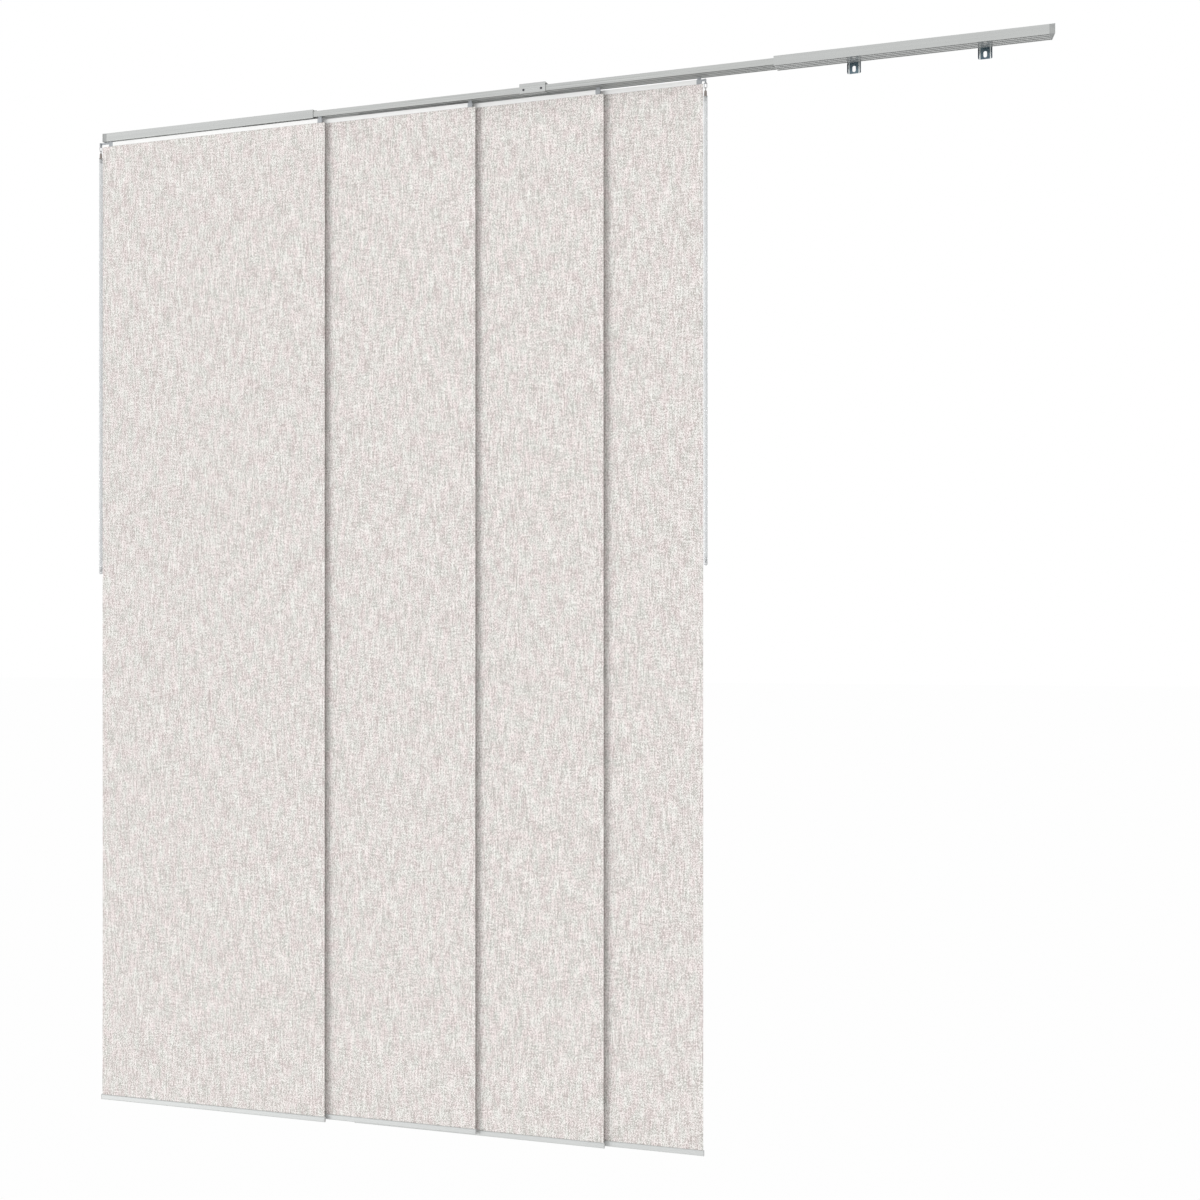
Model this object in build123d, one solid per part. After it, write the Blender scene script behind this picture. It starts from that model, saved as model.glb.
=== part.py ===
from build123d import *
import os

os.makedirs("parts", exist_ok=True)

# Panel track blind: a four-channel aluminium track that telescopes about a middle sleeve,
# four hanging fabric panels on carriers, two draw wands and four wall brackets.
# X runs along the track, -Y faces the room and +Z is up. The origin is on the wall, at the
# middle of the track's length, level with the lower screw slots. All sizes are millimetres.

# Track as a whole
track_width = 2184.0  # outer face of one end cap to the other, pulled out
wall_gap = 2.5  # wall to the back of the track
fixing_drop = 13.0  # lower screw slots to the underside of the track

# Outer extrusion, one at each end
channel_count = 4
channel_width = 8.4
partition = 1.2  # wall between two channels
outer_wall = 1.4  # front and back walls
outer_roof = 1.4
outer_lip = 2.0  # lips beside the slots
outer_slot = 4.4
outer_height = 19.3
outer_length = 549.0
section_radius = 0.8
keeper_depth = 0.7  # small ribs that hold the inner rails down
keeper_height = 0.8
hook_height = 3.2  # hooked ribs on the roof, for the bracket clips
hook_wall = 1.2
hook_lip = 1.6
hook_lip_height = 1.0
hook_spread = 13.0
hook_back = 6.5  # back of the track to the rear hooked rib

# Inner rails, four in each half, one in each channel
rail_play = 0.15  # each side
rail_lift = 0.2  # above the outer lips, and under the keepers
rail_wall = 0.9
rail_height = 13.3
rail_slot = 4.2
rail_radius = 0.5
rail_grip = 50.0  # how far each stays inside its outer extrusion
rail_end_gap = 0.2  # to the middle of the sleeve

# Middle sleeve and its screws
sleeve_length = 60.0
sleeve_height = 21.0
sleeve_roof = 2.0
sleeve_lip = 1.1
sleeve_play = 0.1
face_screw_x = 20.3
face_screw_height = 7.2  # above the sleeve's underside
face_screw_radius = 1.4
face_screw_head_radius = 2.6
face_screw_head = 1.2
face_screw_chamfer = 0.4
grub_screw_x = 12.0
grub_screw_radius = 1.9
screw_play = 0.05

# End caps
cap_front = 11.0  # a cap is a wedge in plan, thick at the room side and thin at the wall side
cap_back = 2.0
cap_rim = 1.2  # the rim on its slanted outer face
cap_lip = 0.4  # how far the rim stands proud of the extrusion all round
cap_finger = 3.0
cap_finger_play = 0.1

# Wall brackets and clips
bracket_inset = (390.0, 127.0)  # far end of the extrusion to each bracket
bracket_width = 28.0
bracket_sheet = 1.6
bracket_below = 22.5  # flange under the track
bracket_leg = 22.0
bracket_rib = 3.9
bracket_corner = 3.0
bracket_bend = 0.8
rib_clearance = 1.5
slot_width = 7.0
slot_length = 13.0
slot_spacing = 22.0
clip_sheet = 0.9
clip_width = 22.0
clip_play = 0.1
rivet_radius = 2.2
rivet_head_radius = 3.4
rivet_head = 1.0
rivet_head_round = 0.7

# Panels, numbered from the room side to the wall side
panel_width = 590.0
panel_steps = (0.0, 365.3, 659.3, 877.3)  # how far each stands to the right of the front one
stop_gap = 0.7  # front panel's end piece to the cap's finger
hang_trim = (1.8, -2.8, 1.5, -1.1)  # how much lower each one hangs than the mean
panel_drop = 2278.0  # underside of the track to the underside of the hem bars
fabric_thickness = 0.8
soft_gap = 0.3

# Carriers and gliders
carrier_gap = 1.8  # underside of the track to the carrier
carrier_thickness = 3.6
carrier_bar = 9.5
carrier_cavity_width = 1.6
carrier_cavity_height = 6.0
carrier_leg = 1.0
carrier_leg_height = 16.0
tape_thickness = 1.0
tape_height = 14.0
end_length = 11.0
end_inset = 7.0  # panel edge to a plain end piece
left_wand_inset = 17.0  # front panel's left edge to the end piece that carries its wand
right_wand_inset = 3.0  # rear panel's right edge to the end piece that carries its wand
tongue_length = 8.0
tongue_play = 0.1
neck_thickness = 2.0
neck_length = 8.0
runner_length = 10.0
runner_height = 6.5
runner_play = 0.3
runner_lift = 0.2
runner_chamfer = 0.6

# Hem bars
hem_thickness = 6.0
hem_height = 12.0
hem_radius = 2.4
hem_slot_depth = 8.5
hem_bore = 1.2
hem_cap = 1.5
hem_cap_lip = 0.3
hem_cap_round = 0.5

# Wands and their hooks
wand_offset = 5.5  # panel edge to the wand's middle
wand_radius = 4.25
wand_bottom = 1029.5  # underside of the track to the wand's tip
arm_thickness = 1.8
arm_height = 4.0
arm_root = 1.0  # how far the arm runs into the end piece
lug_thickness = 1.8
lug_radius = 3.9
lug_hole_radius = 2.1
lug_drop = 2.6  # arm's underside to the middle of the hole
wire_radius = 0.8
wire_play = 0.15
link_half_width = 3.0
link_height = 12.0
eye_radius = 3.0
eye_stem = 7.0
ferrule_height = 12.0
ferrule_top_radius = 2.7
ferrule_neck_radius = 3.2
ferrule_flange = 1.2
spigot_radius = 2.0
spigot_length = 10.0
spigot_play = 0.05
ferrule_gap = 0.35
tip_height = 6.0
tip_round = 3.4

# Levels and places worked out from the sizes above
half_width = track_width / 2
channel_pitch = channel_width + partition
track_depth = channel_count * channel_pitch - partition + 2 * outer_wall
track_back = -wall_gap
track_mid = track_back - track_depth / 2
front_channel = track_back - track_depth + outer_wall + channel_width / 2
channel_y = [front_channel + channel_pitch * k for k in range(channel_count)]
underside = fixing_drop
outer_top = underside + outer_height
rail_outside = channel_width - 2 * rail_play
rail_inside = rail_outside - 2 * rail_wall
rail_bottom = underside + outer_lip + rail_lift
rail_top = rail_bottom + rail_height
outer_end = half_width - cap_front
outer_start = outer_end - outer_length
rail_end = outer_start + rail_grip
bracket_x = [outer_end - inset for inset in bracket_inset]
sleeve_bottom = rail_bottom - sleeve_play - sleeve_lip
sleeve_top = sleeve_bottom + sleeve_height
carrier_top = underside - carrier_gap
carrier_bottom = carrier_top - carrier_bar
front_left_edge = cap_finger + stop_gap - outer_end - left_wand_inset
panel_left_edges = [front_left_edge + step for step in panel_steps]


def save(shape, node):
    export_step(shape, f"parts/{node}.step")


def run_along(section, start, end):
    """A section drawn in Y and Z, run along the track from start to end."""
    return extrude(Plane.YZ.offset(start) * section, end - start)


def block(x, y, z):
    """A block between two values on each axis."""
    size = Box(max(x) - min(x), max(y) - min(y), max(z) - min(z))
    return Pos(sum(x) / 2, sum(y) / 2, sum(z) / 2) * size


def channel_section(bottom, top, roof, lip):
    """Four channels side by side under one roof, each open below through a slot."""
    outline = RectangleRounded(track_depth, top - bottom, section_radius)
    section = Pos(track_mid, (bottom + top) / 2) * outline
    inside = top - roof - bottom - lip
    for y in channel_y:
        section -= Pos(y, bottom + lip + inside / 2) * Rectangle(channel_width, inside)
        section -= Pos(y, bottom + lip / 2) * Rectangle(outer_slot, 2 * lip)
    return section


def outer_section():
    """The big extrusion, with keepers over the inner rails and hooked ribs on its roof."""
    section = channel_section(underside, outer_top, outer_roof, outer_lip)
    keeper_z = rail_top + rail_lift + keeper_height / 2
    for y in channel_y:
        for side in (-1, 1):
            keeper_y = y + side * (channel_width - keeper_depth) / 2
            section += Pos(keeper_y, keeper_z) * Rectangle(keeper_depth, keeper_height)
    for y, side in hooked_ribs():
        section += Pos(y, outer_top + hook_height / 2) * Rectangle(hook_wall, hook_height)
        lip_y = y + side * (hook_wall + hook_lip) / 2
        lip_z = outer_top + hook_height - hook_lip_height / 2
        section += Pos(lip_y, lip_z) * Rectangle(hook_lip, hook_lip_height)
    return section


def hooked_ribs():
    """Where the two roof ribs stand, and which way each one's lip points."""
    rear = track_back - hook_back
    return [(rear, 1), (rear - hook_spread, -1)]


def rail_section(y):
    """A small C rail with its slot below, for the channel at y."""
    middle = (rail_bottom + rail_top) / 2
    section = Pos(y, middle) * RectangleRounded(rail_outside, rail_height, rail_radius)
    section -= Pos(y, middle) * Rectangle(rail_inside, rail_height - 2 * rail_wall)
    section -= Pos(y, rail_bottom + rail_wall / 2) * Rectangle(rail_slot, 2 * rail_wall)
    return section


# Outer extrusions, their end caps and the inner rails
def end_cap():
    """The right cap: a wedge with a proud rim on its slanted face, and a finger in each channel."""
    front = track_back - track_depth - cap_lip
    back = track_back + cap_lip
    middle = Pos(track_mid, (underside + outer_top) / 2)
    flush = middle * RectangleRounded(track_depth, outer_height, section_radius)
    depth = track_depth + 2 * cap_lip
    height = outer_height + 2 * cap_lip
    proud = middle * RectangleRounded(depth, height, section_radius + cap_lip)
    outward = Vector(back - front, cap_front - cap_back, 0)
    slant = Plane((half_width, front, 0), x_dir=(0, 0, 1), z_dir=outward)
    cap = split(run_along(flush, outer_end, half_width), bisect_by=slant, keep=Keep.BOTTOM)
    rim = split(run_along(proud, outer_end, half_width), bisect_by=slant, keep=Keep.BOTTOM)
    rim = split(rim, bisect_by=slant.offset(-cap_rim), keep=Keep.TOP)
    cap += rim
    finger_bottom = underside + outer_lip + cap_finger_play
    finger_height = rail_top - finger_bottom
    for y in channel_y:
        finger = Rectangle(channel_width - 2 * cap_finger_play, finger_height)
        finger = Pos(y, finger_bottom + finger_height / 2) * finger
        cap += run_along(finger, outer_end - cap_finger, outer_end)
    return cap


outer_track = run_along(outer_section(), outer_start, outer_end)
cap = end_cap()
save(outer_track, "outer_track_right")
save(mirror(outer_track, Plane.YZ), "outer_track_left")
save(cap, "end_cap_right")
save(mirror(cap, Plane.YZ), "end_cap_left")
for k, y in enumerate(channel_y, 1):
    rail = run_along(rail_section(y), rail_end_gap, rail_end)
    save(rail, f"inner_rail_right_{k}")
    save(mirror(rail, Plane.YZ), f"inner_rail_left_{k}")

# Middle sleeve, with two screws in its face and two over each rail's end
sleeve = channel_section(sleeve_bottom, sleeve_top, sleeve_roof, sleeve_lip)
sleeve = run_along(sleeve, -sleeve_length / 2, sleeve_length / 2)
face_y = track_back - track_depth
face_screw_z = sleeve_bottom + face_screw_height
face_screws = []
for x in (-face_screw_x, face_screw_x):
    toward_wall = Plane((x, face_y, face_screw_z), x_dir=(1, 0, 0), z_dir=(0, 1, 0))
    sleeve -= extrude(toward_wall * Circle(face_screw_radius + screw_play), outer_wall)
    shank = extrude(toward_wall * Circle(face_screw_radius), outer_wall + rail_play - screw_play)
    head = extrude(toward_wall * Circle(face_screw_head_radius), -face_screw_head)
    head = chamfer(head.faces().sort_by(Axis.Y)[0].edges(), face_screw_chamfer)
    face_screws.append(shank + head)
grub_screws = []
for y in channel_y:
    for x in (-grub_screw_x, grub_screw_x):
        seat = Plane((x, y, rail_top + screw_play))
        sleeve -= extrude(seat * Circle(grub_screw_radius + screw_play), sleeve_top - rail_top)
        grub_screws.append(extrude(seat * Circle(grub_screw_radius), sleeve_top - rail_top - screw_play))
save(sleeve, "middle_sleeve")
save(Compound(children=face_screws), "sleeve_face_screws")
save(Compound(children=grub_screws), "sleeve_grub_screws")

# Wall brackets: folded steel, with a slotted flange on the wall and a leg over the track
clip_top = outer_top + hook_height + clip_play + clip_sheet
flange_bottom = underside - bracket_below
flange_top = clip_top + bracket_sheet
rivet_y = track_back - hook_back - hook_spread / 2


def bracket():
    """One bracket, centred on X = 0."""
    flange_height = flange_top - flange_bottom
    flange = Rectangle(bracket_sheet, flange_height)
    leg = Rectangle(bracket_leg, bracket_sheet)
    section = Pos(-bracket_sheet / 2, flange_bottom + flange_height / 2) * flange
    section += Pos(-bracket_leg / 2, flange_top - bracket_sheet / 2) * leg
    outer_bend = section.vertices().sort_by(lambda v: v.Y + v.X)[-1]
    section = fillet(outer_bend, bracket_bend + bracket_sheet)
    folded = run_along(section, -bracket_width / 2, bracket_width / 2)
    corners = folded.edges().filter_by(Axis.Y).sort_by(Axis.Z)[:2]
    folded = fillet(corners, bracket_corner)
    rib_z = (flange_bottom + bracket_corner, underside - rib_clearance)
    for side in (-1, 1):
        rib_x = (side * (bracket_width / 2 - bracket_sheet), side * bracket_width / 2)
        rib = block(rib_x, (-bracket_rib, 0), rib_z)
        tip = rib.edges().filter_by(Axis.X).sort_by(Axis.Y)[:2]
        folded += fillet(tip, bracket_rib - bracket_sheet)
    wall = Plane((0, 0, 0), x_dir=(0, 0, 1), z_dir=(0, -1, 0))
    for z in (0, slot_spacing):
        folded -= extrude(wall * Pos(z, 0) * SlotOverall(slot_length, slot_width), bracket_sheet)
    through = Plane((0, rivet_y, flange_top - bracket_sheet))
    folded -= extrude(through * Circle(rivet_radius + screw_play), bracket_sheet)
    return folded


def clip():
    """The spring clip riveted under a bracket's leg, gripping both hooked ribs from outside."""
    (rear, _), (front, _) = hooked_ribs()
    reach = hook_wall / 2 + hook_lip + clip_play
    plate_z = clip_top - clip_sheet / 2
    inner_rear = rear + reach
    inner_front = front - reach
    plate = Rectangle(inner_rear - inner_front + 2 * clip_sheet, clip_sheet)
    section = Pos((inner_rear + inner_front) / 2, plate_z) * plate
    toe_top = outer_top + hook_height - hook_lip_height - clip_play
    for edge, side in ((inner_rear, 1), (inner_front, -1)):
        leg_y = edge + side * clip_sheet / 2
        leg_height = clip_top - toe_top + clip_sheet
        section += Pos(leg_y, clip_top - leg_height / 2) * Rectangle(clip_sheet, leg_height)
        toe_y = edge - side * (hook_lip - clip_sheet) / 2
        section += Pos(toe_y, toe_top - clip_sheet / 2) * Rectangle(hook_lip + clip_sheet, clip_sheet)
    pressed = run_along(section, -clip_width / 2, clip_width / 2)
    seat = Plane((0, rivet_y, clip_top))
    pressed += extrude(seat * Circle(rivet_radius), bracket_sheet)
    dome = extrude(seat.offset(bracket_sheet) * Circle(rivet_head_radius), rivet_head)
    pressed += fillet(dome.faces().sort_by(Axis.Z)[-1].edges(), rivet_head_round)
    return pressed


one_bracket = bracket()
one_clip = clip()
for hand, side in (("left", -1), ("right", 1)):
    for place, x in zip(("inner", "outer"), bracket_x):
        save(Pos(side * x, 0, 0) * one_bracket, f"bracket_{hand}_{place}")
    save(Compound(children=[Pos(side * x, 0, 0) * one_clip for x in bracket_x]), f"bracket_clips_{hand}")

# Carriers: the white rail that each fabric panel hangs from, between two plastic end pieces
fabric_offset = soft_gap + fabric_thickness / 2 + tape_thickness + carrier_leg - carrier_thickness / 2
hang_y = -fabric_offset  # fabric's middle plane, from the channel's middle
lug_x = wand_offset
lug_y = -(carrier_thickness - arm_thickness) / 2
lug_z = carrier_top - arm_height - lug_drop
runner_bottom = rail_bottom + rail_wall + runner_lift


def end_piece():
    """A right-hand end piece whose block ends at X = 0, with its glider above it."""
    half = carrier_thickness / 2
    piece = block((-end_length, 0), (-half, half), (carrier_bottom, carrier_top))
    piece = fillet(piece.edges().filter_by(Axis.Z).sort_by(Axis.X)[-2:], half / 2)
    tongue_y = carrier_cavity_width / 2 - tongue_play
    tongue_z = carrier_cavity_height / 2 - tongue_play
    middle = (carrier_bottom + carrier_top) / 2
    tongue_x = (-end_length - tongue_length, -end_length)
    piece += block(tongue_x, (-tongue_y, tongue_y), (middle - tongue_z, middle + tongue_z))
    middle_x = -end_length / 2
    neck_x = (middle_x - neck_length / 2, middle_x + neck_length / 2)
    neck_y = (-neck_thickness / 2, neck_thickness / 2)
    piece += block(neck_x, neck_y, (carrier_top, runner_bottom))
    boat = SlotOverall(runner_length, rail_inside - 2 * runner_play)
    runner = extrude(Plane((middle_x, 0, runner_bottom)) * boat, runner_height)
    return piece + chamfer(runner.faces().sort_by(Axis.Z)[-1].edges(), runner_chamfer)


def wand_arm(inset):
    """An arm past the panel's edge, with a lug across its end for the wand's link."""
    reach = inset + lug_x
    arm_x = (-arm_root, reach + lug_thickness / 2)
    arm_y = (lug_y - arm_thickness / 2, lug_y + arm_thickness / 2)
    arm = block(arm_x, arm_y, (carrier_top - arm_height, carrier_top))
    lug_start = reach - lug_thickness / 2
    lug = Pos(lug_y, lug_z) * Circle(lug_radius)
    lug += Pos(lug_y, (lug_z + carrier_top) / 2) * Rectangle(2 * lug_radius, carrier_top - lug_z)
    lug -= Pos(lug_y, lug_z) * Circle(lug_hole_radius)
    return arm + run_along(lug, lug_start, lug_start + lug_thickness)


def carrier(left, right, y):
    """The aluminium rail: a hollow bar above and a thin leg behind for the tape."""
    middle = Pos(y, (carrier_top + carrier_bottom) / 2)
    bar = middle * Rectangle(carrier_thickness, carrier_bar)
    bar -= middle * Rectangle(carrier_cavity_width, carrier_cavity_height)
    leg_y = y + (carrier_thickness - carrier_leg) / 2
    leg = Rectangle(carrier_leg, carrier_leg_height)
    bar += Pos(leg_y, carrier_bottom - carrier_leg_height / 2) * leg
    return run_along(bar, left, right)


# Hem bars: an oval aluminium bar that the fabric's lower edge sits in, with a cap at each end
def hem_outline(extra):
    """The bar's oval, grown all round by an extra."""
    return RectangleRounded(hem_thickness + 2 * extra, hem_height + 2 * extra, hem_radius + extra)


def hem_bar(left, right, y, bottom):
    """The bar, with a groove along its top for the cloth and a bore below the groove."""
    section = Pos(y, bottom + hem_height / 2) * hem_outline(0)
    slot_top = bottom + hem_height
    groove = Rectangle(fabric_thickness + 2 * soft_gap, 2 * hem_slot_depth)
    section -= Pos(y, slot_top) * groove
    bore_z = bottom + (hem_height - hem_slot_depth) / 2
    section -= Pos(y, bore_z) * Circle(hem_bore)
    return run_along(section, left, right)


def hem_end_cap(start, end, y, bottom, side):
    """A thin cap on one end of a bar, its outer edge rounded."""
    plate = run_along(Pos(y, bottom + hem_height / 2) * hem_outline(hem_cap_lip), start, end)
    outer_face = plate.faces().sort_by(Axis.X)[-1 if side > 0 else 0]
    return fillet(outer_face.edges(), hem_cap_round)


plain_end = end_piece()
left_wand_end = plain_end + wand_arm(left_wand_inset)
right_wand_end = plain_end + wand_arm(right_wand_inset)
for k, (y, left_edge, trim) in enumerate(zip(channel_y, panel_left_edges, hang_trim), 1):
    right_edge = left_edge + panel_width
    left_inset, left_piece = end_inset, plain_end
    right_inset, right_piece = end_inset, plain_end
    if k == 1:
        left_inset, left_piece = left_wand_inset, left_wand_end
    if k == channel_count:
        right_inset, right_piece = right_wand_inset, right_wand_end
    left_piece = mirror(left_piece, Plane.YZ)
    save(Pos(left_edge + left_inset, y, 0) * left_piece, f"glider_left_{k}")
    save(Pos(right_edge - right_inset, y, 0) * right_piece, f"glider_right_{k}")
    bar_left = left_edge + left_inset + end_length
    bar_right = right_edge - right_inset - end_length
    save(carrier(bar_left, bar_right, y), f"carrier_{k}")
    tape_y = y + carrier_thickness / 2 - carrier_leg
    tape_z = carrier_bottom - (carrier_leg_height - tape_height) / 2
    tape = block((bar_left, bar_right), (tape_y - tape_thickness, tape_y), (tape_z - tape_height, tape_z))
    save(tape, f"hook_tape_{k}")
    hem_bottom = underside - panel_drop - trim
    fabric_bottom = hem_bottom + hem_height - hem_slot_depth + soft_gap
    fabric_y = y + hang_y
    fabric = block(
        (left_edge, right_edge),
        (fabric_y - fabric_thickness / 2, fabric_y + fabric_thickness / 2),
        (fabric_bottom, carrier_bottom - soft_gap),
    )
    save(fabric, f"fabric_{k}")
    hem_left = left_edge - soft_gap
    hem_right = right_edge + soft_gap
    save(hem_bar(hem_left, hem_right, fabric_y, hem_bottom), f"hem_bar_{k}")
    left_cap = hem_end_cap(hem_left - hem_cap, hem_left, fabric_y, hem_bottom, -1)
    right_cap = hem_end_cap(hem_right, hem_right + hem_cap, fabric_y, hem_bottom, 1)
    save(Compound(children=[left_cap, right_cap]), f"hem_caps_{k}")

# Wands: a link in the lug, an eye in the link, a ferrule, a long rod and a rounded tip
link_top = lug_z - lug_hole_radius + wire_radius + 2 * wire_play
link_bottom = link_top - link_height
eye_top = link_bottom + 2 * wire_radius + wire_play
eye_middle = eye_top - eye_radius
eye_bottom = eye_middle - eye_radius
ferrule_top = eye_bottom - wire_radius - ferrule_gap
rod_top = ferrule_top - ferrule_height
tip_bottom = underside - wand_bottom
rod_bottom = tip_bottom + tip_height


def link():
    """A long closed loop of wire, across the track, middle of the lug's hole at X = Y = 0."""
    straight = link_height - 2 * link_half_width
    shoulder = link_top - link_half_width
    wire = Plane((link_half_width, 0, shoulder)) * Circle(wire_radius)
    bend_axis = Axis((0, 0, shoulder), (0, -1, 0))
    top = revolve(wire, bend_axis, 180)
    leg = extrude(wire, -straight)
    half = top + leg + mirror(leg, Plane.YZ)
    bottom_bend = mirror(top, Plane((0, 0, shoulder - straight / 2)))
    return half + bottom_bend


def eye():
    """A ring of wire in the fore and aft plane, with a stem down into the ferrule."""
    ring = Pos(0, 0, eye_middle) * Rot(0, 90, 0) * Torus(eye_radius, wire_radius)
    stem = extrude(Plane((0, 0, eye_bottom)) * Circle(wire_radius), -eye_stem)
    return ring + stem


def turned(profile):
    """A profile of radius and height, turned about the wand's axis."""
    return revolve(Plane.XZ * make_face(Polyline(*profile, close=True)), Axis.Z, 360)


def ferrule():
    """A turned cap: tapered neck, a flange on the rod's end and a spigot inside it."""
    neck_bottom = rod_top + ferrule_flange
    spigot_bottom = rod_top - spigot_length
    body = turned(
        [
            (0, ferrule_top),
            (ferrule_top_radius, ferrule_top),
            (ferrule_neck_radius, neck_bottom),
            (wand_radius, neck_bottom),
            (wand_radius, rod_top),
            (spigot_radius, rod_top),
            (spigot_radius, spigot_bottom),
            (0, spigot_bottom),
        ]
    )
    stem_hole = Plane((0, 0, ferrule_top)) * Circle(wire_radius + screw_play)
    return body - extrude(stem_hole, eye_bottom - eye_stem - screw_play - ferrule_top)


def rod():
    """The wand's rod, bored at both ends for the spigots."""
    bar = extrude(Plane((0, 0, rod_bottom)) * Circle(wand_radius), rod_top - rod_bottom)
    bore = Circle(spigot_radius + spigot_play)
    depth = spigot_length + spigot_play
    bar -= extrude(Plane((0, 0, rod_top)) * bore, -depth)
    bar -= extrude(Plane((0, 0, rod_bottom)) * bore, depth)
    return bar


def tip():
    """A rounded end with a spigot up into the rod."""
    bead = extrude(Plane((0, 0, tip_bottom)) * Circle(wand_radius), tip_height)
    bead = fillet(bead.faces().sort_by(Axis.Z)[0].edges(), tip_round)
    return bead + extrude(Plane((0, 0, rod_bottom)) * Circle(spigot_radius), spigot_length)


wand_places = (
    ("left", panel_left_edges[0] - wand_offset, channel_y[0] + lug_y),
    ("right", panel_left_edges[-1] + panel_width + wand_offset, channel_y[-1] + lug_y),
)
wand_pieces = {"link": link(), "eye": eye(), "ferrule": ferrule(), "rod": rod(), "tip": tip()}
for hand, x, y in wand_places:
    for name, piece in wand_pieces.items():
        save(Pos(x, y, 0) * piece, f"wand_{name}_{hand}")
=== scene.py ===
import math

import bmesh
import bpy
from mathutils import Matrix, Vector, noise


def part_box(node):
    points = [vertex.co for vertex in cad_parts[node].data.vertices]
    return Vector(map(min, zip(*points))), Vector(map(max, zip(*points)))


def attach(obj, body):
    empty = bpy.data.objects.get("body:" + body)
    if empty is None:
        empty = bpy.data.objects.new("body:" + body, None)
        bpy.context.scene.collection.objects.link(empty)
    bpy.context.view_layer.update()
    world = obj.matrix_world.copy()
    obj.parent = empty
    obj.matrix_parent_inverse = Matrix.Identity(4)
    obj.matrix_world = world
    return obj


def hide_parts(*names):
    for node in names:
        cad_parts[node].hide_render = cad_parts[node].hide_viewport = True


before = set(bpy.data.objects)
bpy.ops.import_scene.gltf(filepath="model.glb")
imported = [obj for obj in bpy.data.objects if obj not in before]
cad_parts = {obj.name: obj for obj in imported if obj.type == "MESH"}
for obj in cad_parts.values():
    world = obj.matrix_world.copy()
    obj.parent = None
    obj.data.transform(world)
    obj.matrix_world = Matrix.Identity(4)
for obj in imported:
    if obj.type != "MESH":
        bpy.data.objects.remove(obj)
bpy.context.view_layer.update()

# Wall brackets. Each is a strip of steel folded to an angle and zinc plated with a bluish cast, with a
# painted highlight along a line inside each turned edge and painted shade on the turned edges past
# it. Its flange is screwed to the wall through two upright slots, and its leg lies over the track.


def seen(red, green, blue):
    """A colour as it reads on a screen, 0 to 255, turned to the shader's own scale."""
    return tuple(((c / 255 + 0.055) / 1.055) ** 2.4 for c in (red, green, blue)) + (1,)


def put_noise(tree, stretch, detail=3.0, output="Object", shift=(0, 0, 0)):
    """Noise over a piece, with stretch grains to the metre on each axis."""
    place = tree.nodes.new("ShaderNodeTexCoord")
    mapping = tree.nodes.new("ShaderNodeMapping")
    mapping.inputs["Scale"].default_value = stretch
    mapping.inputs["Location"].default_value = shift
    grain = tree.nodes.new("ShaderNodeTexNoise")
    grain.inputs["Scale"].default_value = 1.0
    grain.inputs["Detail"].default_value = detail
    tree.links.new(place.outputs[output], mapping.inputs["Vector"])
    tree.links.new(mapping.outputs["Vector"], grain.inputs["Vector"])
    return grain.outputs["Fac"]


def put_range(tree, value, low, high, to_low, to_high):
    """A value's own span, opened out to another one."""
    span = tree.nodes.new("ShaderNodeMapRange")
    ends = {"From Min": low, "From Max": high, "To Min": to_low, "To Max": to_high}
    for socket, number in ends.items():
        span.inputs[socket].default_value = number
    tree.links.new(value, span.inputs["Value"])
    return span.outputs["Result"]


def put_mix(tree, factor, first, second):
    """One colour over another, by a factor; either may be a socket."""
    mix = tree.nodes.new("ShaderNodeMix")
    mix.data_type = "RGBA"
    first_colour, second_colour, mixed_colour = mix.inputs[6], mix.inputs[7], mix.outputs[2]
    tree.links.new(factor, mix.inputs["Factor"])
    for socket, colour in ((first_colour, first), (second_colour, second)):
        if isinstance(colour, tuple):
            socket.default_value = colour
        else:
            tree.links.new(colour, socket)
    return mixed_colour


def put_maths(tree, first, second, operation="ADD"):
    """Two values worked together; either may be a plain number."""
    maths = tree.nodes.new("ShaderNodeMath")
    maths.operation = operation
    for socket, value in zip(maths.inputs, (first, second)):
        if isinstance(value, (int, float)):
            socket.default_value = value
        else:
            tree.links.new(value, socket)
    return maths.outputs["Value"]


def new_finish(name, **sockets):
    """An empty finish with its plain sockets set, its tree and its shader."""
    finish = bpy.data.materials.new(name)
    finish.use_nodes = True
    shader = finish.node_tree.nodes["Principled BSDF"]
    for socket, value in sockets.items():
        shader.inputs[socket.replace("_", " ")].default_value = value
    return finish, finish.node_tree, shader


def worked_surface(name, colours, roughness, grain, cloud, height, **sockets):
    """A finish with fine grain in its gloss and height, and slow clouds in its colour.

    The colours are the plain one, the clouds' and the grain's. Grain and cloud are counts to the
    metre on each axis, and height is the grain's depth in metres.
    """
    finish, tree, shader = new_finish(name, **sockets)
    plain, clouded, grained = colours
    most_grain = 0.35
    fine = put_noise(tree, grain)
    slow = put_noise(tree, cloud, detail=5.0)
    tone = put_mix(tree, put_range(tree, slow, 0.35, 0.65, 0, 1), plain, clouded)
    lined = put_mix(tree, put_range(tree, fine, 0.4, 0.75, 0, most_grain), tone, grained)
    tree.links.new(lined, shader.inputs["Base Color"])
    tree.links.new(put_range(tree, fine, 0.3, 0.7, *roughness), shader.inputs["Roughness"])
    bump = tree.nodes.new("ShaderNodeBump")
    bump.inputs["Strength"].default_value = 0.5
    bump.inputs["Distance"].default_value = height
    tree.links.new(fine, bump.inputs["Height"])
    tree.links.new(bump.outputs["Normal"], shader.inputs["Normal"])
    return finish


def dress(finish, *names):
    """Gives CAD nodes their finish in place of the plain one they came with."""
    for name in names:
        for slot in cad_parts[name].material_slots:
            slot.material = finish


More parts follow.
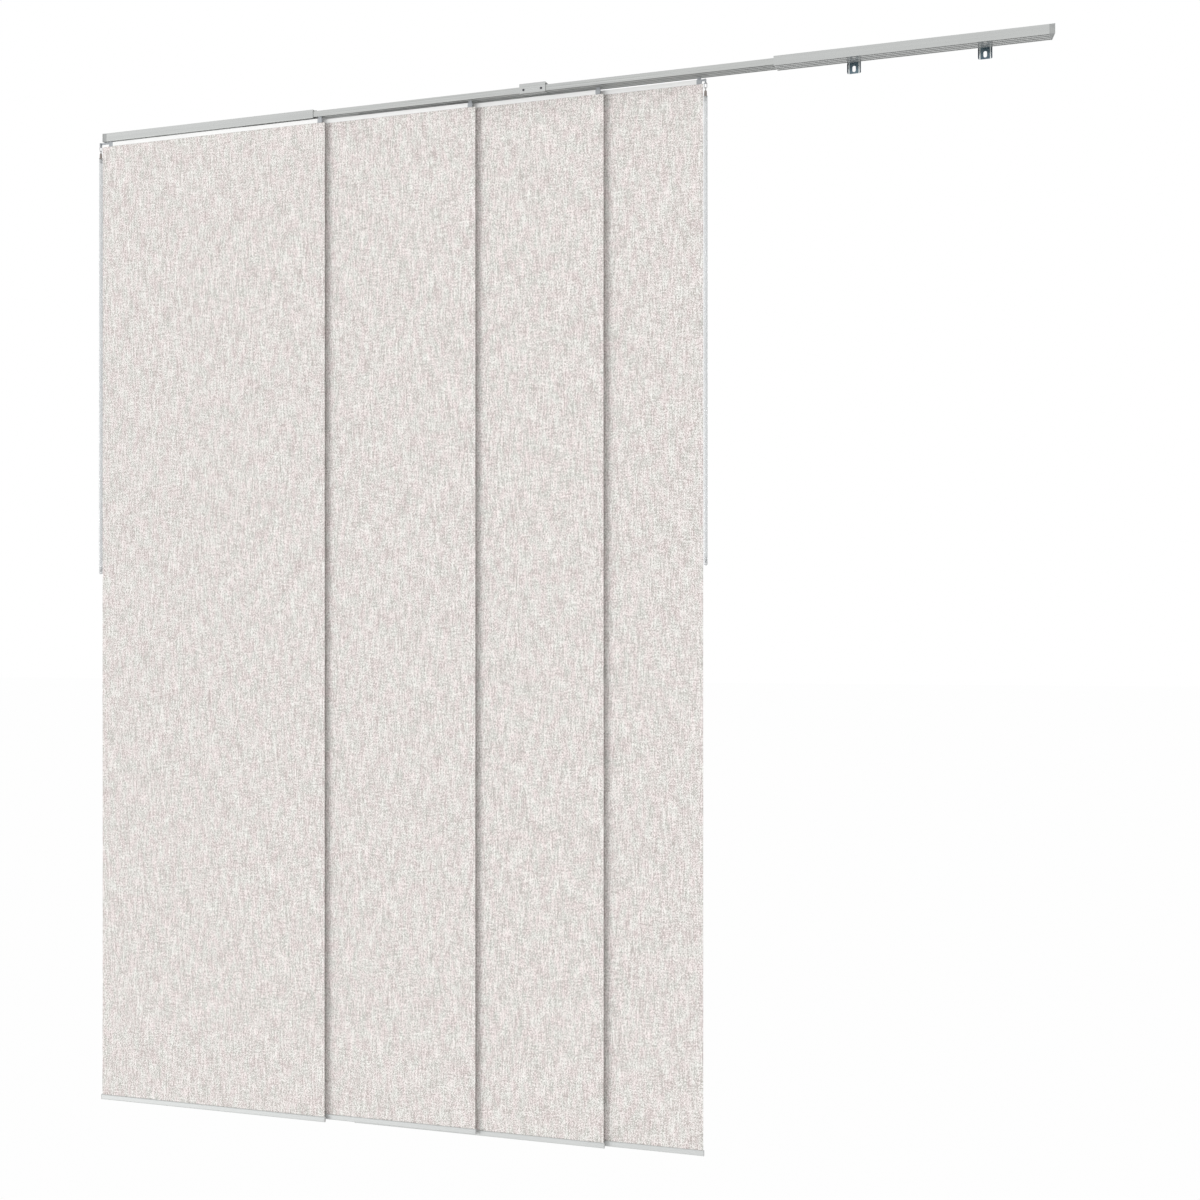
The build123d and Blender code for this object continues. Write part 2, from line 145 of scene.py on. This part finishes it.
hands = ("left", "right")
bracket_places = ("inner", "outer")
bright_zinc = worked_surface(
    "bright_zinc",
    (seen(112, 132, 142), seen(84, 102, 116), seen(150, 162, 162)),
    roughness=(0.2, 0.36), grain=(160, 160, 900), cloud=(55, 55, 35), height=0.00004,
    Metallic=1.0,
)
# The pale colour is a painted highlight for the line inside each turned edge; the dark one is painted
# shade for the turned edges.
painted_highlight, painted_shade = seen(240, 244, 244), seen(62, 74, 84)
highlight_from, highlight_to, fade = 0.0092, 0.0114, 0.0003
corners = [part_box(f"bracket_right_{place}") for place in bracket_places]
inner_middle, outer_middle = ((low.x + high.x) / 2 for low, high in corners)

# How far aside of its bracket's middle a point is: the brackets stand alike at both ends, so the
# distance is folded about the blind's middle, and then about the two brackets' own middle.
tree = bright_zinc.node_tree
colour_socket = tree.nodes["Principled BSDF"].inputs["Base Color"]
coordinates = tree.nodes.new("ShaderNodeTexCoord")
along_track = tree.nodes.new("ShaderNodeSeparateXYZ")
tree.links.new(coordinates.outputs["Object"], along_track.inputs["Vector"])
aside = put_maths(tree, along_track.outputs["X"], 0, "ABSOLUTE")
for fold in ((inner_middle + outer_middle) / 2, (outer_middle - inner_middle) / 2):
    aside = put_maths(tree, put_maths(tree, aside, -fold), 0, "ABSOLUTE")
# The plating's colour gets a painted highlight on a narrow line inside each turned edge, and painted
# shade on the turned edges beyond it.
past_start = put_range(tree, aside, highlight_from, highlight_from + fade, 0, 1)
before_end = put_range(tree, aside, highlight_to, highlight_to + fade, 1, 0)
on_highlight = put_maths(tree, past_start, before_end, "MULTIPLY")
in_painted_shade = put_range(tree, aside, highlight_to + fade, highlight_to + 2 * fade, 0, 1)
plated_and_shaded = put_mix(tree, in_painted_shade, colour_socket.links[0].from_socket, painted_shade)
tree.links.new(put_mix(tree, on_highlight, plated_and_shaded, painted_highlight), colour_socket)
dress(bright_zinc, *(f"bracket_{hand}_{place}" for hand in hands for place in bracket_places))

# Spring clips. One is riveted under each bracket's leg and grips the two hooked ribs on the
# track's roof. They are pressed from a thinner, brighter strip of the same plated steel.

spring_zinc = worked_surface(
    "spring_zinc",
    (seen(176, 182, 186), seen(150, 158, 166), seen(205, 206, 200)),
    roughness=(0.2, 0.34), grain=(900, 120, 120), cloud=(60, 60, 60), height=0.00002,
    Metallic=1.0,
)
dress(spring_zinc, *(f"bracket_clips_{hand}" for hand in hands))

# Outer tracks. Two satin anodised aluminium extrusions of four channels each, with the faint
# lines of the die along their length.

die_lines = (1.5, 1400, 1400)
satin_anodised = worked_surface(
    "satin_anodised",
    (seen(195, 197, 196), seen(190, 192, 191), seen(204, 205, 203)),
    roughness=(0.2, 0.34), grain=die_lines, cloud=(3, 40, 40), height=0.00002,
    Metallic=0.5,
)
dress(satin_anodised, *(f"outer_track_{hand}" for hand in hands))

# End caps. Wedges of grey moulded plastic with a rim round the slanted face, pressed into the
# four channels by a finger each.

moulded_grey = worked_surface(
    "moulded_grey",
    (seen(168, 170, 169), seen(158, 160, 160), seen(176, 178, 177)),
    roughness=(0.42, 0.6), grain=(2200, 2200, 2200), cloud=(90, 90, 90), height=0.00003,
)
dress(moulded_grey, *(f"end_cap_{hand}" for hand in hands))

# Inner rails. Four small C rails in each half, of the same aluminium, that slide out of the
# outer tracks. Rubbing has left them a little more streaked.

channels = (1, 2, 3, 4)
rubbed_anodised = worked_surface(
    "rubbed_anodised",
    (seen(192, 194, 192), seen(184, 186, 185), seen(206, 207, 205)),
    roughness=(0.22, 0.4), grain=(2.5, 1100, 1100), cloud=(5, 60, 60), height=0.00002,
    Metallic=0.5,
)
dress(rubbed_anodised, *(f"inner_rail_{hand}_{k}" for hand in hands for k in channels))

# Middle sleeve. A short length of a wider extrusion, in the outer tracks' finish, that joins the
# two halves.

dress(satin_anodised, "middle_sleeve")

# Sleeve screws. Two pan heads with a cross recess hold the sleeve's face to the front rails,
# and eight grub screws with a hexagon socket press on the rails' ends. All are dark zinc.

dark_zinc = worked_surface(
    "dark_zinc",
    (seen(92, 92, 96), seen(70, 70, 75), seen(128, 127, 126)),
    roughness=(0.28, 0.45), grain=(700, 700, 700), cloud=(300, 300, 300), height=0.00003,
    Metallic=1.0,
)


def finished_piece(name, shape, body, finish, replaced=()):
    """Turns a bmesh into a piece that rides on its body and stands for the CAD nodes it replaces."""
    bmesh.ops.remove_doubles(shape, verts=shape.verts, dist=1e-7)
    bmesh.ops.recalc_face_normals(shape, faces=shape.faces)
    mesh = bpy.data.meshes.new(name)
    shape.to_mesh(mesh)
    shape.free()
    mesh.materials.append(finish)
    piece = bpy.data.objects.new(name, mesh)
    bpy.context.scene.collection.objects.link(piece)
    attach(piece, body)
    if replaced:
        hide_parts(*replaced)
    return piece


def rim_of(made):
    """The edges of a ring that has just been made, each once and in the same order each run."""
    return list(dict.fromkeys(edge for vert in made for edge in vert.link_edges))


def draw_on(shape, edges, scale, drop):
    """Extrudes an open ring of edges, then scales it about the axis and moves it down the axis."""
    grown = bmesh.ops.extrude_edge_only(shape, edges=edges)["geom"]
    verts = [v for v in grown if isinstance(v, bmesh.types.BMVert)]
    bmesh.ops.scale(shape, verts=verts, vec=(scale, scale, 1))
    bmesh.ops.translate(shape, verts=verts, vec=(0, 0, -drop))
    return [e for e in grown if isinstance(e, bmesh.types.BMEdge)]


def driven_head(shape, socket, face_radius, depth, rings, place):
    """A screw head: a face with a recess, and rings (scale, drop) from the face down its side."""
    before = set(shape.verts)
    around, recess_taper = 48, 0.72
    rim = bmesh.ops.create_circle(shape, segments=around, radius=face_radius)["verts"]
    mouth = bmesh.ops.create_circle(shape, segments=around, radius=1)["verts"]
    for vert in mouth:
        vert.co *= socket(math.atan2(vert.co.y, vert.co.x))
    rim_edges, mouth_edges = rim_of(rim), rim_of(mouth)
    bmesh.ops.bridge_loops(shape, edges=rim_edges + mouth_edges)
    recess_floor = draw_on(shape, mouth_edges, recess_taper, depth)
    bmesh.ops.edgeloop_fill(shape, edges=recess_floor)
    for scale, drop in rings:
        rim_edges = draw_on(shape, rim_edges, scale, drop)
    bmesh.ops.edgeloop_fill(shape, edges=rim_edges)
    made = [v for v in shape.verts if v not in before]
    bmesh.ops.transform(shape, matrix=place, verts=made)


def cross_mouth(angle):
    """Distance from the axis to the edge of a cross recess, at an angle."""
    arm, half_wall, least_slope = 0.0013, 0.00036, 0.05
    near = abs((angle + math.pi / 4) % (math.pi / 2) - math.pi / 4)
    return min(arm / math.cos(near), half_wall / max(math.sin(near), least_slope))


def hexagon_mouth(angle):
    """The same for a hexagon socket, from half its size across the flats."""
    half_across = 0.00095
    return half_across / math.cos((angle + math.pi / 6) % (math.pi / 3) - math.pi / 6)


low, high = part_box("sleeve_face_screws")
head_radius, head_height, shank_length, cross_depth = 0.0026, 0.0012, 0.0014, 0.0009
crown = ((1.28, 0.00012), (1.16, 0.00028), (1.09, 0.0004))
crown_growth, crown_height, to_shank = 1.62, 0.0008, 0.54
pan = crown + ((1.0, head_height - crown_height), (to_shank, 0), (1.0, shank_length))
face_to_room = Matrix.Rotation(math.pi / 2, 4, "X")
pan_heads = bmesh.new()
for x in (low.x + head_radius, high.x - head_radius):
    place = Matrix.Translation((x, low.y, (low.z + high.z) / 2)) @ face_to_room
    driven_head(pan_heads, cross_mouth, head_radius / crown_growth, cross_depth, pan, place)
finished_piece("pan_head_screws", pan_heads, "middle", dark_zinc, ["sleeve_face_screws"])

low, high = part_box("sleeve_grub_screws")
grub_radius, socket_depth = 0.0019, 0.0015
face_share, face_chamfer, tip_share, tip_chamfer = 0.86, 0.0003, 0.6, 0.0004
between_chamfers = high.z - low.z - (face_chamfer + tip_chamfer)
side = ((1.0 / face_share, face_chamfer), (1.0, between_chamfers), (tip_share, tip_chamfer))
reach, last = high.y - low.y - 2 * grub_radius, len(channels) - 1
rows = [low.y + grub_radius + step * reach / last for step in range(len(channels))]
grubs = bmesh.new()
for x in (low.x + grub_radius, high.x - grub_radius):
    for y in rows:
        place = Matrix.Translation((x, y, high.z))
        driven_head(grubs, hexagon_mouth, grub_radius * face_share, socket_depth, side, place)
finished_piece("grub_screws", grubs, "middle", dark_zinc, ["sleeve_grub_screws"])

# Carriers. White coated aluminium rails, one to a channel, with a thin leg behind for the hook
# tape. The coating has a fine orange peel.

white_coat = worked_surface(
    "white_coat",
    (seen(252, 252, 251), seen(249, 249, 248), seen(254, 254, 253)),
    roughness=(0.28, 0.38), grain=(700, 700, 700), cloud=(20, 20, 20), height=0.00002,
    Coat_Weight=0.2, Coat_Roughness=0.2,
)
dress(white_coat, *(f"carrier_{k}" for k in channels))

# End pieces. Translucent grey nylon, plugged into both ends of each carrier, with a runner that
# rides inside the inner rail. Two of them reach past the panel's edge to hold a wand.

grey_nylon = worked_surface(
    "grey_nylon",
    (seen(186, 190, 194), seen(174, 178, 182), seen(198, 201, 203)),
    roughness=(0.32, 0.48), grain=(1500, 1500, 1500), cloud=(120, 120, 120), height=0.00002,
    Transmission_Weight=0.15, IOR=1.5,
)
dress(grey_nylon, *(f"glider_{hand}_{k}" for hand in hands for k in channels))

# Fabric panels. One width of off-white slubbed linen each, woven thick and thin so that pale
# slubs run down it and, more rarely, across. It hangs flat, with hardly any billow.


def put_threads(tree, run, pitch, slub, seed, detail):
    """Threads a pitch apart, up or across the cloth, each thick and thin in its own places."""
    place = tree.nodes.new("ShaderNodeTexCoord")
    parts = tree.nodes.new("ShaderNodeSeparateXYZ")
    tree.links.new(place.outputs["UV"], parts.inputs["Vector"])
    across, along = parts.outputs["X"], parts.outputs["Y"]
    if run == "across":
        across, along = along, across
    stray, seed_step, far_apart = 0.0005, 0.37, 400
    wander = put_noise(tree, (5, 5, 1), detail=1.0, output="UV", shift=(seed, 0, 0))
    across = put_maths(tree, across, put_range(tree, wander, 0, 1, 0, stray))
    thread = put_maths(tree, put_maths(tree, across, 1 / pitch, "MULTIPLY"), 0, "FLOOR")
    own = tree.nodes.new("ShaderNodeTexWhiteNoise")
    own.noise_dimensions = "1D"
    tree.links.new(put_maths(tree, thread, seed + seed_step), own.inputs["W"])
    start = put_maths(tree, own.outputs["Value"], far_apart, "MULTIPLY")
    slubs = tree.nodes.new("ShaderNodeTexNoise")
    slubs.noise_dimensions = "1D"
    slubs.inputs["Scale"].default_value = 1.0
    slubs.inputs["Detail"].default_value = detail
    reach = put_maths(tree, along, 1 / slub, "MULTIPLY")
    tree.links.new(put_maths(tree, reach, start), slubs.inputs["W"])
    return slubs.outputs["Fac"]


def slubbed_linen():
    """Threads both ways in cloth metres, thick and thin, over a slow drift between two tints."""
    sockets = {"Roughness": 0.92, "Sheen_Weight": 0.1, "Sheen_Roughness": 0.5, "Specular_IOR_Level": 0.2}
    finish, tree, shader = new_finish("slubbed_linen", **sockets)
    # Each row of threads: the way it runs, its pitch, its slubs' length, seed, detail and weight.
    weave = (
        ("up", 0.002, 0.06, 3, 0.0, 0.85),
        ("up", 0.002, 0.018, 17, 1.0, 0.8),
        ("across", 0.002, 0.035, 29, 1.0, 0.9),
        ("up", 0.0016, 0.0035, 41, 2.0, 2.2),
        ("across", 0.0016, 0.0035, 53, 2.0, 2.5),
    )
    pale = 0.5
    for *threads, weight in weave:
        fibre = put_threads(tree, *threads)
        pale = put_maths(tree, pale, put_range(tree, fibre, 0, 1, -weight / 2, weight / 2))
    drift = put_noise(tree, (60, 28, 1), detail=3.0, output="UV", shift=(11, 5, 0))
    drift = put_range(tree, drift, 0.36, 0.64, 0, 1)
    deep = put_mix(tree, drift, seen(188, 186, 180), seen(191, 180, 177))
    light = put_mix(tree, drift, seen(253, 252, 248), seen(255, 247, 245))
    tree.links.new(put_mix(tree, pale, deep, light), shader.inputs["Base Color"])
    bump = tree.nodes.new("ShaderNodeBump")
    bump.inputs["Strength"].default_value = 0.3
    bump.inputs["Distance"].default_value = 0.0003
    tree.links.new(pale, bump.inputs["Height"])
    tree.links.new(bump.outputs["Normal"], shader.inputs["Normal"])
    return finish


linen = slubbed_linen()
cloth_thickness, billow = 0.0008, 0.0009
held_at_top, held_at_foot, easing = 0.018, 0.012, 0.3
next_across, next_along = 0.83, 0.37
wave_across, wave_between, wave_down = 3.1, 4.7, 0.9
upright = Matrix.Rotation(math.pi / 2, 3, "X")
for k in channels:
    low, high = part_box(f"fabric_{k}")
    width, drop = high.x - low.x, high.z - low.z
    cloth = bmesh.new()
    bmesh.ops.create_grid(cloth, x_segments=48, y_segments=150, size=0.5)
    bmesh.ops.scale(cloth, verts=cloth.verts, vec=(width, drop, 1))
    bmesh.ops.rotate(cloth, verts=cloth.verts, cent=(0, 0, 0), matrix=upright)
    bmesh.ops.translate(cloth, verts=cloth.verts, vec=(low + high) / 2)
    metres = cloth.loops.layers.uv.new("cloth_metres")
    for face in cloth.faces:
        for loop in face.loops:
            x, z = loop.vert.co.x - low.x, loop.vert.co.z - low.z
            loop[metres].uv = (x + k * next_across, z + k * next_along)
    for vert in cloth.verts:
        from_top = (high.z - vert.co.z - held_at_top) / easing
        from_foot = (vert.co.z - low.z - held_at_foot) / easing
        held = max(min(from_top, from_foot, 1), 0)
        free = held ** 2 * (3 - 2 * held)
        wave = Vector((vert.co.x * wave_across, k * wave_between, vert.co.z * wave_down))
        vert.co.y += billow * free * noise.noise(wave)
    piece = finished_piece(f"panel_cloth_{k}", cloth, f"panel_{k}", linen, [f"fabric_{k}"])
    thick = piece.modifiers.new("thickness", "SOLIDIFY")
    thick.thickness = cloth_thickness
    thick.offset = 0

# Hook tape. A strip of white nylon hooks sewn to the back of each panel's top edge, which grips
# the carrier's leg. Two rows of stitches in a thread of the cloth's tone show on its face.

hooked_nylon = worked_surface(
    "hooked_nylon",
    (seen(238, 238, 236), seen(228, 228, 226), seen(246, 246, 244)),
    roughness=(0.6, 0.8), grain=(1700, 1700, 1700), cloud=(200, 200, 200), height=0.0003,
)
sewing_thread = worked_surface(
    "sewing_thread",
    (seen(228, 225, 220), seen(216, 212, 207), seen(240, 238, 234)),
    roughness=(0.7, 0.85), grain=(2600, 2600, 2600), cloud=(90, 90, 90), height=0.0001,
)
stitch, thread_depth, thread_height, pitch = 0.0031, 0.0002, 0.00026, 0.0042
below_edge = (0.0025, 0.0125)
off_cloth = 0.0001
for k in channels:
    low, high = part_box(f"hook_tape_{k}")
    tape = bmesh.new()
    bmesh.ops.create_cube(tape, size=1)
    bmesh.ops.scale(tape, verts=tape.verts, vec=high - low)
    bmesh.ops.translate(tape, verts=tape.verts, vec=(low + high) / 2)
    bmesh.ops.bevel(
        tape, geom=tape.edges, offset=0.0002, segments=2, profile=0.5, affect="EDGES", material=-1,
    )
    replaced = [f"hook_tape_{k}"]
    strip = finished_piece(f"hook_strip_{k}", tape, f"panel_{k}", hooked_nylon, replaced)
    cloth_low, cloth_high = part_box(f"fabric_{k}")
    count = int((high.x - low.x) / pitch) - 1
    thread = bmesh.new()
    for row in below_edge:
        for step in range(1, count + 1):
            made = bmesh.ops.create_icosphere(thread, subdivisions=1, radius=1)["verts"]
            bmesh.ops.scale(thread, verts=made, vec=(stitch / 2, thread_depth, thread_height))
            place = (low.x + step * pitch, cloth_low.y - off_cloth, cloth_high.z - row)
            bmesh.ops.translate(thread, verts=made, vec=place)
    seam = finished_piece(f"stitching_{k}", thread, f"panel_{k}", sewing_thread)

# Hem bars. An oval bar of light satin aluminium weights each panel; the cloth's lower edge sits
# in a groove along its top, and a small moulded cap closes each end.

pale_anodised = worked_surface(
    "pale_anodised",
    (seen(204, 206, 205), seen(199, 201, 200), seen(212, 213, 212)),
    roughness=(0.42, 0.56), grain=die_lines, cloud=(4, 60, 60), height=0.00002,
    Metallic=0.25,
)
dress(pale_anodised, *(f"hem_bar_{k}" for k in channels))
pale_plastic = worked_surface(
    "pale_plastic",
    (seen(208, 209, 209), seen(202, 203, 203), seen(215, 216, 216)),
    roughness=(0.4, 0.55), grain=(1800, 1800, 1800), cloud=(120, 120, 120), height=0.00002,
)
dress(pale_plastic, *(f"hem_caps_{k}" for k in channels))

# Wand hooks. A long link of nickel wire hangs in the end piece's lug, and an eye of the same
# wire hangs in the link, with its stem down in the wand's ferrule.

nickel_wire = worked_surface(
    "nickel_wire",
    (seen(196, 196, 196), seen(176, 176, 177), seen(210, 210, 208)),
    roughness=(0.14, 0.26), grain=(400, 400, 900), cloud=(200, 200, 200), height=0.00001,
    Metallic=1.0,
)
dress(nickel_wire, *(f"wand_{part}_{hand}" for part in ("link", "eye") for hand in hands))

# Ferrules. Turned metal caps with a tapered neck, pressed on the wand's top end round the stem
# of the eye.

turned_metal = worked_surface(
    "turned_metal",
    (seen(150, 142, 138), seen(122, 114, 110), seen(176, 170, 166)),
    roughness=(0.18, 0.32), grain=(200, 200, 3000), cloud=(150, 150, 150), height=0.00002,
    Metallic=1.0,
)
dress(turned_metal, *(f"wand_ferrule_{hand}" for hand in hands))

# Wands. Long round rods of clear, faintly milky plastic with a rounded tip plugged into the
# lower end.

milky_clear = worked_surface(
    "milky_clear",
    (seen(236, 238, 239), seen(230, 232, 233), seen(243, 244, 245)),
    roughness=(0.1, 0.2), grain=(900, 900, 6), cloud=(60, 60, 8), height=0.00001,
    Transmission_Weight=0.6, IOR=1.47,
)
dress(milky_clear, *(f"wand_{part}_{hand}" for part in ("rod", "tip") for hand in hands))

# Floor and light. A wide pale floor well under the hem bars, an even white room, and one broad
# soft light from low on the left, which reaches the carriers under the track and draws a narrow
# shadow beside each panel's right edge. The floor doesn't stop that light, but it takes shadows.


def seen_directly(tree):
    """1 for camera, glossy and transmission rays, so that the backdrop looks white in them too."""
    path = tree.nodes.new("ShaderNodeLightPath")
    either = put_maths(tree, path.outputs["Is Camera Ray"], path.outputs["Is Glossy Ray"], "MAXIMUM")
    return put_maths(tree, either, path.outputs["Is Transmission Ray"], "MAXIMUM")


floor_level, floor_reach, floor_glow = -2.66, 60, 0.97
ground = bmesh.new()
bmesh.ops.create_grid(ground, x_segments=1, y_segments=1, size=floor_reach)
bmesh.ops.translate(ground, verts=ground.verts, vec=(0, 0, floor_level))
floor_mesh = bpy.data.meshes.new("floor")
ground.to_mesh(floor_mesh)
ground.free()
floor = bpy.data.objects.new("floor", floor_mesh)
bpy.context.scene.collection.objects.link(floor)
floor.visible_shadow = False
pale_floor, tree, floor_shader = new_finish("pale_floor", Base_Color=seen(242, 242, 242), Roughness=0.8)
glow = tree.nodes.new("ShaderNodeEmission")
blend = tree.nodes.new("ShaderNodeMixShader")
tree.links.new(put_range(tree, seen_directly(tree), 0, 1, 0, floor_glow), blend.inputs["Fac"])
tree.links.new(floor_shader.outputs["BSDF"], blend.inputs[1])
tree.links.new(glow.outputs["Emission"], blend.inputs[2])
tree.links.new(blend.outputs["Shader"], tree.nodes["Material Output"].inputs["Surface"])
floor_mesh.materials.append(pale_floor)

room = bpy.data.worlds.new("white_room")
bpy.context.scene.world = room
room.use_nodes = True
tree = room.node_tree
fill = tree.nodes["Background"]
backdrop = tree.nodes.new("ShaderNodeBackground")
for white, strength in ((fill, 0.74), (backdrop, 1.0)):
    white.inputs["Color"].default_value = (1, 1, 1, 1)
    white.inputs["Strength"].default_value = strength
blend = tree.nodes.new("ShaderNodeMixShader")
tree.links.new(seen_directly(tree), blend.inputs["Fac"])
tree.links.new(fill.outputs["Background"], blend.inputs[1])
tree.links.new(backdrop.outputs["Background"], blend.inputs[2])
tree.links.new(blend.outputs["Shader"], tree.nodes["World Output"].inputs["Surface"])

key = bpy.data.lights.new("soft_key", "SUN")
key.energy = 1.45
key.angle = math.radians(30)
key_lamp = bpy.data.objects.new("soft_key", key)
bpy.context.scene.collection.objects.link(key_lamp)
toward_object = Vector((0.74, 0.62, 0.1))
key_lamp.rotation_mode = "QUATERNION"
key_lamp.rotation_quaternion = toward_object.to_track_quat("-Z", "Y")

# Camera. It stands to the right of the blind and half way down it, and looks a little to the
# left. The shifts stand for the photograph's crop.

view = bpy.data.cameras.new("camera")
view.lens = 53.16
view.sensor_width = 36
view.shift_x = 0.05
view.shift_y = 0.0334
view.clip_end = 200
camera = bpy.data.objects.new("camera", view)
bpy.context.scene.collection.objects.link(camera)
camera.location = (1.343, -3.6415, -1.1797)
camera.rotation_euler = (math.radians(90.085), 0, math.radians(20.21))
bpy.context.scene.camera = camera
bpy.context.scene.view_settings.view_transform = "Standard"
